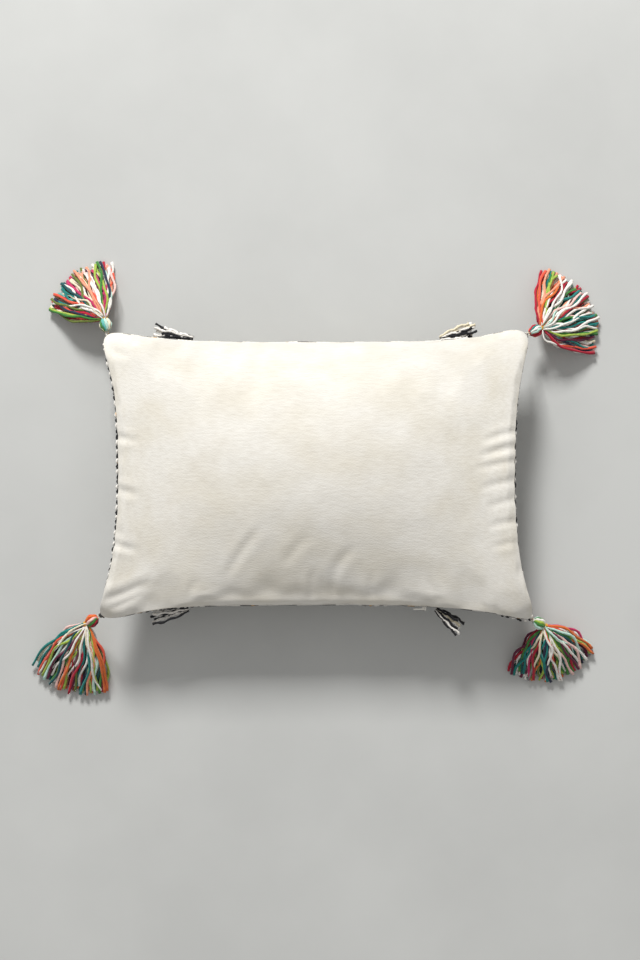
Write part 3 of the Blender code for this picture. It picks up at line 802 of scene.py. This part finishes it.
# Stretches of seam where the front's yarn shows. Side 0 is -Y, 1 is +X, 2 is +Y and 3 is -X.
# side, from, to, pitch, dash length, how far it stands out, thickness share, slant, yarns in turn
EDGE_RUNS = (
    (3, -0.080, 0.064, 0.0052, 0.0062, 0.0012, 1.00, 0.10, "JWJWJJWJW"),
    (3, 0.064, 0.128, 0.0054, 0.0064, 0.0006, 0.86, 0.10, "YJWJGJWJWJWJ"),
    (3, 0.128, 0.150, 0.0060, 0.0040, 0.0003, 0.55, 0.0, "JWW"),
    (3, -0.112, -0.080, 0.0062, 0.0056, 0.0004, 0.70, 0.10, "JW"),
    (1, -0.060, 0.056, 0.0058, 0.0074, 0.0005, 0.80, 0.05, "JWJJWJWG"),
    (1, 0.056, 0.112, 0.0060, 0.0060, 0.0001, 0.55, 0.0, "JWWJGWJ"),
    (1, 0.136, 0.150, 0.0066, 0.0066, 0.0002, 0.60, 0.0, "JWJ"),
    (0, 0.196, 0.216, 0.0056, 0.0052, 0.0014, 0.85, 0.35, "JJWJ"),
    (0, 0.216, 0.232, 0.0062, 0.0062, 0.0022, 1.00, 0.40, "JWJJ"),
    (0, 0.046, 0.074, 0.0050, 0.0056, 0.0002, 0.60, 0.0, "WGYWG"),
    (0, -0.190, -0.120, 0.0064, 0.0056, 0.0002, 0.50, 0.0, "WGJW"),
    (2, 0.196, 0.214, 0.0064, 0.0056, 0.0002, 0.45, 0.0, "JW"),
)
EDGE_BELOW = 0.0026          # centre of the yarn below the seam
EDGE_DIP, EDGE_TUCK = 0.0012, 0.0010    # how far a dash's ends turn down and in
EDGE_STEPS = 6
EDGE_SEED = 11


def add_dash(bm, form, run, place, code, radius, rng):
    """One short hump of yarn along the seam at a place given along its side."""
    side, _, _, _, span, reach, share, slant, _ = run
    half_length = form.half_y[1] if side % 2 else form.half_x[1]
    along = place / half_length * (1 if side in (0, 1) else -1)
    angle = math.asin(max(-0.999, min(0.999, along))) / math.pi + 0.5
    here, out = form.edge(side + angle)
    ahead, _ = form.edge(side + min(0.9995, angle + 0.004))
    way = ((ahead - here).normalized() + out * slant).normalized()
    half = span / 2 * rng.uniform(0.80, 1.20)
    centre = here + out * (reach + rng.uniform(-0.0004, 0.0005))
    centre.z -= EDGE_BELOW
    path, radii = [], []
    for step in range(EDGE_STEPS + 1):
        turn = math.pi * step / EDGE_STEPS
        ends = abs(math.cos(turn))
        drop = Vector((0.0, 0.0, -EDGE_DIP)) * ends
        path.append(centre - way * half * math.cos(turn) + drop - out * EDGE_TUCK * ends)
        radii.append(radius * share * rng.uniform(0.9, 1.1) * max(0.30, math.sin(turn) ** 0.6))
    add_yarn(bm, path, radii, code, sides=7, twist=1500.0, lobe=0.16, phase=place * 900)


class PILLOW_OT_seam_yarns(bpy.types.Operator):
    """Makes the woven front's own dark and pale yarns where they turn into the seam"""

    bl_idname = "pillow.seam_yarns"
    bl_label = "Seam yarns"

    def execute(self, context):
        form, rng = CoverForm(), random.Random(EDGE_SEED)
        radius = context.scene.pillow_sizes.edge_yarn
        bm = bmesh.new()
        for run in EDGE_RUNS:
            _, low, high, pitch, _, _, _, _, codes = run
            place, k = low, 0
            while place < high:
                add_dash(bm, form, run, place, codes[k % len(codes)], radius, rng)
                place += pitch * rng.uniform(0.82, 1.22)
                k += 1
        edge = mesh_object("woven_edge_yarns", bm, plied_yarn("handspun_edge_yarn"))
        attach(edge, "cover")
        return {"FINISHED"}


# ---- tassels ----

TASSEL_SEED = 20
STRAND_STEPS = 16
UNDER_LAYERS = (0.0, 0.45)   # shares of the way up the skirt at which the hidden layers lie
LOOSE_STRANDS = 5            # strands that lie slantwise over the others
STRAND_LOW = 0.0032          # least height of a strand's centre
HEAD_WIDE = 0.37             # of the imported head's height
HEAD_STEPS = 12
BINDING_THREAD = 0.00062
BINDING_TURNS, BINDING_STEPS, BINDING_LENGTH = 3.6, 58, 0.0032
LOOP_STEPS = 20


class TasselForm:
    """Where a tassel's pieces lie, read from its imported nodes."""

    def __init__(self, corner):
        self.head = middle(f"tassel_head_{corner}")
        self.neck = middle(f"tassel_binding_{corner}")
        self.axis = (self.neck - self.head).normalized()
        self.loop = middle(f"tassel_loop_{corner}")
        skirt = node_points(f"tassel_skirt_{corner}")
        gap = skirt[:, :2] - np.array(self.neck[:2])
        far = np.hypot(gap[:, 0], gap[:, 1])
        tips = gap[far > far.max() * 0.86]
        mean = tips.mean(0)
        self.azimuth = math.atan2(mean[1], mean[0])
        turned = [math.remainder(math.atan2(y, x) - self.azimuth, 2 * math.pi) for x, y in tips]
        self.spread = (min(turned), max(turned))
        self.reach = float(far.max())
        low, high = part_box(f"tassel_head_{corner}")
        self.width = high.z - low.z


def strand_path(form, turn, reach, rise, rng, flare=0.52, wave=0.0032):
    """One strand: out of the neck, sideways round the skirt's shoulder, and down to the floor."""
    centre = sum(form.spread) / 2
    shoulder = form.azimuth + turn + flare * (turn - centre)
    tip = form.azimuth + turn
    root = form.neck + Vector((rng.uniform(-1, 1), rng.uniform(-1, 1), 0)) * 0.0024
    root += heading(shoulder) * 0.0012
    root.z = form.neck.z + (rise - 0.5) * 0.0052
    bend = root + heading(shoulder) * reach * 0.48
    end = form.neck + heading(tip) * reach
    phase, wiggle = rng.uniform(0, 2 * math.pi), rng.uniform(0.5, 1.4) * wave
    path = []
    side = Vector((-math.sin(tip), math.cos(tip), 0))
    floor = 0.0017 + rise * 0.0042 + rng.uniform(0, 0.0006)
    for k, point in enumerate(arc(root, bend, end, STRAND_STEPS)):
        t = k / STRAND_STEPS
        sway = wiggle * (math.sin(phase + 5.0 * t) + 0.4 * math.sin(2.3 * phase + 13.0 * t))
        sway *= min(1.0, 2.5 * t)
        height = floor + (root.z - floor) * (1 - t) ** 1.35
        height += 0.0085 * rise * math.sin(math.pi * min(1, t * 1.05))
        path.append(Vector((point.x, point.y, max(STRAND_LOW, height))) + side * sway)
    return path


def strand_radii(path, radius, rng):
    """Pinched at the neck, full along the skirt, and a little frayed at the tip."""
    flare = rng.uniform(1.0, 1.22)
    radii = []
    for k in range(len(path)):
        t = k / (len(path) - 1)
        pinch = 0.62 + 0.38 * min(1.0, t / 0.28)
        radii.append(radius * pinch * (flare if t > 0.93 else 1.0))
    return radii


def make_skirt(corner, form, yarn, radius, rng):
    bm = bmesh.new()
    upper = FAN_YARNS[corner]
    low, high = form.spread
    layers = [(rise, rng.sample(upper, len(upper) * 2 // 3)) for rise in UNDER_LAYERS]
    for rise, order in (*layers, (1.0, upper)):
        for k, code in enumerate(order):
            share = (k + 0.5 + rng.uniform(-0.35, 0.35)) / len(order)
            turn = high - share * (high - low)
            reach = form.reach * rng.uniform(0.86, 1.02) * (0.97 if rise < 1 else 1.0)
            lift = rise + rng.uniform(-0.16, 0.10)
            path = strand_path(form, turn, reach, max(0.0, lift), rng)
            add_yarn(bm, path, strand_radii(path, radius, rng), code, phase=rng.uniform(0, 6))
    for _ in range(LOOSE_STRANDS):
        turn, end = rng.uniform(low, high), rng.uniform(low, high)
        path = strand_path(form, turn, form.reach * rng.uniform(0.75, 0.95), 1.25, rng,
                           flare=0.9 * (end - turn), wave=0.004)
        radii = strand_radii(path, radius * 0.85, rng)
        add_yarn(bm, path, radii, rng.choice("WWCM"), phase=rng.uniform(0, 6))
    return mesh_object(f"skirt_strands_{corner}", bm, yarn)


def make_head(corner, form, yarn, radius, rng):
    """Loops of yarn folded over the hanging thread and gathered at the neck, round a wound core."""
    bm = bmesh.new()
    side, up = across(form.axis)
    half = (form.neck - form.head).length
    wide = form.width * HEAD_WIDE
    order = HEAD_YARNS[corner]
    for k, code in enumerate(order):
        turn = 2 * math.pi * (k + rng.uniform(-0.3, 0.3)) / len(order)
        puff = rng.uniform(0.88, 1.06)
        path, radii = [], []
        for step in range(HEAD_STEPS + 1):
            t = 0.10 + 0.90 * step / HEAD_STEPS
            outward = around(side, up, turn + 0.5 * (t - 0.5))
            bulge = puff * math.sin(math.pi * (0.92 * t)) ** 0.90
            path.append(form.head + form.axis * half * (2.0 * t - 1.0) + outward * (wide * bulge))
            radii.append(radius * (1.22 - 0.60 * abs(2 * t - 1) ** 2))
        add_yarn(bm, path, radii, code, phase=k)
    head = mesh_object(f"head_loops_{corner}", bm, yarn)
    deselect()
    bpy.ops.mesh.primitive_uv_sphere_add(segments=16, ring_count=10, radius=1.0)
    core = bpy.context.object
    axes = np.array([list(side * wide * 0.94), list(up * wide * 0.94), list(form.axis * half * 0.92)])
    set_coordinates(core.data, coordinates(core.data) @ axes + np.array(form.head))
    core.data.uv_layers[0].name = "cloth"
    paint = core.data.color_attributes.new("dye", "FLOAT_COLOR", "CORNER")
    for item in paint.data:
        item.color = linear(YARNS[order[0]])
    core.data.materials.append(yarn)
    core.data.shade_smooth()
    pick(core)
    head.select_set(True)
    bpy.context.view_layer.objects.active = head
    bpy.ops.object.join()
    return head


def make_binding(corner, form, yarn, radius):
    """A few turns of thread round the neck."""
    bm = bmesh.new()
    side, up = across(form.axis)
    low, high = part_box(f"tassel_binding_{corner}")
    wide = (high.z - low.z) * 0.36
    path = []
    for k in range(BINDING_STEPS + 1):
        t = k / BINDING_STEPS
        outward = around(side, up, 2 * math.pi * BINDING_TURNS * t)
        path.append(form.neck + form.axis * BINDING_LENGTH * (t - 0.5) + outward * wide)
    add_yarn(bm, path, [radius] * len(path), "Y", sides=6, twist=2500.0, lobe=0.12)
    return mesh_object(f"binding_thread_{corner}", bm, yarn)


def make_loop(corner, form, yarn):
    """The twisted thread that ties the tassel to the cover's corner."""
    bm = bmesh.new()
    low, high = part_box(f"tassel_loop_{corner}")
    thread = (high.z - low.z) / 2
    radius = (high.x - low.x) / 2 - thread
    path = [form.loop + heading(2 * math.pi * k / LOOP_STEPS) * radius for k in range(LOOP_STEPS)]
    twist = 2 * math.pi / radius
    add_yarn(bm, path, [thread] * LOOP_STEPS, "C", sides=6, twist=twist, lobe=0.12, closed=True)
    return mesh_object(f"hanging_thread_{corner}", bm, yarn)


class PILLOW_OT_tassels(bpy.types.Operator):
    """Makes the four tassels: skirt, head, binding and hanging thread"""

    bl_idname = "pillow.tassels"
    bl_label = "Tassels"

    def execute(self, context):
        radius = context.scene.pillow_sizes.tassel_yarn
        yarn = plied_yarn("two_ply_acrylic_yarn")
        thread = plied_yarn("mercerised_binding_thread", sheen=0.1)
        for number, corner in enumerate(CORNER_NAMES.values()):
            rng = random.Random(TASSEL_SEED + number)
            form = TasselForm(corner)
            pieces = (
                (make_skirt(corner, form, yarn, radius, rng), "tassel", "skirt", "tassel_yarn"),
                (make_head(corner, form, yarn, radius, rng), "tassel", "head", "tassel_yarn"),
                (make_binding(corner, form, thread, BINDING_THREAD), "tassel", "binding", "binding_yarn"),
                (make_loop(corner, form, thread), "loop", "loop", "tassel_yarn"),
            )
            for piece, body, node, slot in pieces:
                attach(piece, f"{body}_{corner}")
                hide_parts(f"tassel_{node}_{corner}")
        return {"FINISHED"}


# ---- fringe tufts ----

TUFT_FAN = 1.9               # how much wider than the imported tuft's tip the strands fan out
TUFT_WAVE = 0.0008
TUFT_STEPS = 14
TUFT_SEED = 60

TUFT_YARNS = {
    "top_left": "WJWJJWWJWJ",
    "top_right": "CWCWJWJJWJW",
    "bottom_left": "JWJWJWWJ",
    "bottom_right": "JJCWJWJ",
}


def tuft_ends(node):
    """Root, tip and the tip's half width of a packed tuft."""
    points = node_points(node)
    centre = points.mean(0)
    values, vectors = np.linalg.eigh(np.cov((points - centre).T))
    axis = vectors[:, np.argmax(values)]
    along = (points - centre) @ axis
    ends = [points[along > along.max() * 0.9], points[along < along.min() * 0.9]]
    spreads = [float(np.linalg.norm(e - e.mean(0), axis=1).mean()) for e in ends]
    root, tip = ends[int(np.argmin(spreads))].mean(0), ends[int(np.argmax(spreads))].mean(0)
    return Vector(root), Vector(tip), max(spreads)


class PILLOW_OT_fringe(bpy.types.Operator):
    """Makes the four tufts of twisted fringe yarn caught in the long seams"""

    bl_idname = "pillow.fringe"
    bl_label = "Fringe tufts"

    def execute(self, context):
        yarn = plied_yarn("handspun_fringe_yarn")
        radius = context.scene.pillow_sizes.fringe_yarn
        for number, corner in enumerate(CORNER_NAMES.values()):
            rng = random.Random(TUFT_SEED + number)
            root, tip, wide = tuft_ends(f"fringe_{corner}")
            axis = (tip - root).normalized()
            side, up = across(axis)
            bm = bmesh.new()
            order = TUFT_YARNS[corner]
            for k, code in enumerate(order):
                fan = 2.0 * (k + 0.5) / len(order) - 1.0
                off = side * fan * wide * TUFT_FAN + up * rng.uniform(-0.9, 0.9) * wide
                start = root + off * 0.20
                end = tip + off - axis * rng.uniform(0.0, 0.016)
                bend = (start + end) / 2 + off * rng.uniform(-0.5, 0.5) + up * rng.uniform(0.0, 0.0030)
                path = arc(start, bend, end, TUFT_STEPS)
                for n, point in enumerate(path):
                    point += side * TUFT_WAVE * math.sin(1.1 * n + 2.0 * k) * min(1.0, n / 5)
                    point.z = max(point.z, radius * 1.5)
                radii = [radius * rng.uniform(0.86, 1.12) * min(1.0, 0.7 + 0.05 * n)
                         for n in range(TUFT_STEPS + 1)]
                radii[-1] *= 1.25
                add_yarn(bm, path, radii, code, twist=1400.0, lobe=0.26, phase=k)
            tuft = mesh_object(f"fringe_strands_{corner}", bm, yarn)
            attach(tuft, "cover")
            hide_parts(f"fringe_{corner}")
        return {"FINISHED"}


# ---- insert, zip and label ----

class PILLOW_OT_insert(bpy.types.Operator):
    """Makes the stuffed insert inside the cover"""

    bl_idname = "pillow.insert"
    bl_label = "Insert"

    def execute(self, context):
        form = CoverForm()
        ticking = plain_fabric("plain_woven_ticking", "#F2F1EE", 0.8)
        finishes = (("insert_casing_back", ticking, "ticking"), ("insert_casing_front", ticking, "ticking"),
                    ("insert_filling", fibre_filling(), "filling"))
        for node, material, slot in finishes:
            piece = copy_node(node, f"{node}_soft", material)
            edit_all(piece, merge_points, bpy.ops.mesh.tris_convert_to_quads)
            set_coordinates(piece.data, form.refit(coordinates(piece.data)))
            smooth_once(piece)
            piece.data.shade_smooth()
            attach(piece, "cover")
            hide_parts(node)
        return {"FINISHED"}


TAPE_IN = 0.0012             # the folded tape clears the lip and the coil by this much
TAPE_LEAN = math.radians(88)  # the back's tape folds this far in, under the low rim of the cloth


def fold_tape(node, material):
    """The back's zip tape, turned in about the edge that carries the coil."""
    piece = copy_node(node, "zip_tape_back_folded", material)
    places = coordinates(piece.data)
    low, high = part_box(node)
    over, rise = places[:, 1] - high.y, places[:, 2] - low.z
    places[:, 1] = high.y + TAPE_IN + over * math.cos(TAPE_LEAN) + rise * math.sin(TAPE_LEAN)
    places[:, 2] = low.z - TAPE_IN - over * math.sin(TAPE_LEAN) + rise * math.cos(TAPE_LEAN)
    set_coordinates(piece.data, places)
    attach(piece, "cover")
    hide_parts(node)


class PILLOW_OT_closures(bpy.types.Operator):
    """Gives the zip and the care label their finishes"""

    bl_idname = "pillow.closures"
    bl_label = "Zip and label"

    def execute(self, context):
        tape = plain_fabric("knitted_polyester_tape", "#EAE6DB", 0.9)
        coil, metal = nylon_coil(), lacquered_zinc()
        label = plain_fabric("woven_satin_label", "#F6F5F1", 0.4, roughness=0.5)
        fold_tape("zipper_tape_back", tape)
        for node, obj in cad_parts.items():
            if node.startswith("zipper_tape"):
                material = tape
            elif node.startswith("zipper_coil"):
                material = coil
            elif node.startswith("zipper_"):
                material = metal
            elif node == "care_label":
                material = label
            else:
                continue
            obj.data.materials.clear()
            obj.data.materials.append(material)
        return {"FINISHED"}


# ---- studio ----

FLOOR_SIZE = 9.0
CAMERA_PLACE = (0.0041, -0.0075, 2.226)
CAMERA_LENS = 70.0
KEY_WAY = (-0.20, 1.0, 0.66)  # from the pillow towards the main light
KEY_DISTANCE = 4.5
KEY_SIZE = 1.0
KEY_POWER = 254.0
KEY_COLOUR = (1.0, 0.994, 0.980)
AMBIENT = 0.46
AMBIENT_COLOUR = (1.0, 0.992, 0.978, 1.0)


class PILLOW_OT_studio(bpy.types.Operator):
    """Makes the floor, the lights and the camera"""

    bl_idname = "pillow.studio"
    bl_label = "Studio"

    def execute(self, context):
        deselect()
        bpy.ops.mesh.primitive_plane_add(size=FLOOR_SIZE, location=(0.0, 0.0, 0.0))
        floor = context.object
        floor.name = floor.data.name = "studio_floor"
        floor.data.materials.append(pale_floor(context.scene.pillow_colours.floor))

        bpy.ops.object.camera_add(location=CAMERA_PLACE, rotation=(0.0, 0.0, 0.0))
        camera = context.object
        camera.name = "studio_camera"
        camera.data.lens = CAMERA_LENS
        camera.data.sensor_width = 36.0
        context.scene.camera = camera

        way = Vector(KEY_WAY).normalized()
        bpy.ops.object.light_add(type="AREA", location=way * KEY_DISTANCE)
        key = context.object
        key.name = "studio_key"
        key.rotation_euler = way.to_track_quat("Z", "Y").to_euler()
        key.data.size = KEY_SIZE
        key.data.energy = KEY_POWER
        key.data.color = KEY_COLOUR

        world = bpy.data.worlds.new("studio_surround")
        world.use_nodes = True
        background = world.node_tree.nodes["Background"]
        background.inputs["Color"].default_value = AMBIENT_COLOUR
        background.inputs["Strength"].default_value = AMBIENT
        context.scene.world = world
        context.scene.view_settings.view_transform = "Standard"
        return {"FINISHED"}


# ---- panel and registration ----

class PILLOW_PT_panel(bpy.types.Panel):
    """The pillow's operators, sizes and colours"""

    bl_idname = "PILLOW_PT_panel"
    bl_label = "Throw pillow"
    bl_space_type = "VIEW_3D"
    bl_region_type = "UI"
    bl_category = "Pillow"

    def draw(self, context):
        for operator in OPERATORS:
            self.layout.operator(operator.bl_idname)
        for group in (context.scene.pillow_sizes, context.scene.pillow_colours):
            box = self.layout.box()
            for name in group.__annotations__:
                box.prop(group, name)


OPERATORS = (PILLOW_OT_studio, PILLOW_OT_cover, PILLOW_OT_seam_yarns, PILLOW_OT_tassels,
             PILLOW_OT_fringe, PILLOW_OT_insert, PILLOW_OT_closures)
CLASSES = (PillowSizes, PillowColours, *OPERATORS, PILLOW_PT_panel)


def register():
    for cls in CLASSES:
        bpy.utils.register_class(cls)
    bpy.types.Scene.pillow_sizes = bpy.props.PointerProperty(type=PillowSizes)
    bpy.types.Scene.pillow_colours = bpy.props.PointerProperty(type=PillowColours)


def unregister():
    del bpy.types.Scene.pillow_colours
    del bpy.types.Scene.pillow_sizes
    for cls in reversed(CLASSES):
        bpy.utils.unregister_class(cls)


def main():
    register()
    bpy.ops.pillow.studio()
    bpy.ops.pillow.cover()
    bpy.ops.pillow.seam_yarns()
    bpy.ops.pillow.tassels()
    bpy.ops.pillow.fringe()
    bpy.ops.pillow.insert()
    bpy.ops.pillow.closures()


if __name__ == "__main__":
    main()
